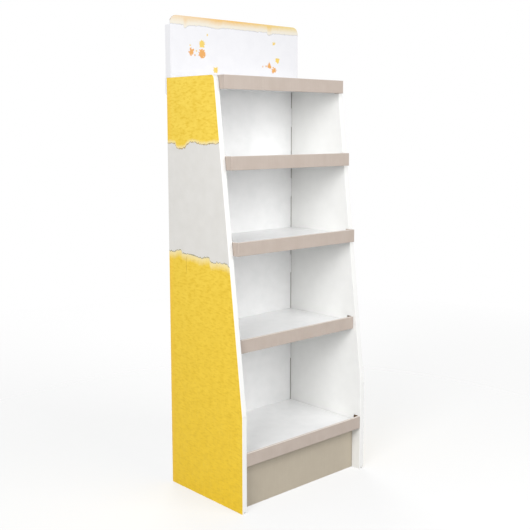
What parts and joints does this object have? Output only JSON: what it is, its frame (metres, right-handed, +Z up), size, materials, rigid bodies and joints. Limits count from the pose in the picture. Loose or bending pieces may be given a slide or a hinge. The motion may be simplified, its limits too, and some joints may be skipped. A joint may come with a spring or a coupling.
{
  "type": "cardboard display stand",
  "caption": "Free-standing folded card display stand: hollow side walls that lean back, shelves with raised front strips, recessed plinth and header card.",
  "frame": {"origin": "centre of the footprint's bounding box, on the floor", "axes": "+Z up, the open front faces -Y, X along the width"},
  "size_m": [0.6, 0.393, 1.637],
  "materials": {
    "wall_print": "printed satin outside, plain white card inside",
    "white_card": "white coated card, satin",
    "header_print": "printed satin card",
    "strip_card": "taupe printed card, satin",
    "plinth_card": "olive taupe printed card, satin",
    "kraft_board": "uncoated brown corrugated board",
    "rivet_plastic": "white moulded plastic"
  },
  "bodies": {
    "root": {"side_wall_left": "wall_print", "side_wall_right": "wall_print", "back_panel": "white_card", "shelf_1": "white_card", "shelf_2": "white_card", "shelf_3": "white_card", "shelf_4": "white_card", "shelf_5": "white_card", "shelf_pad_1": "kraft_board", "shelf_pad_2": "kraft_board", "shelf_pad_3": "kraft_board", "shelf_pad_4": "kraft_board", "shelf_pad_5": "kraft_board", "front_strip_1": "strip_card", "front_strip_2": "strip_card", "front_strip_3": "strip_card", "front_strip_4": "strip_card", "front_strip_5": "strip_card", "plinth": "plinth_card", "header_card": "header_print", "header_rivets": "rivet_plastic"}
  },
  "joints": []
}
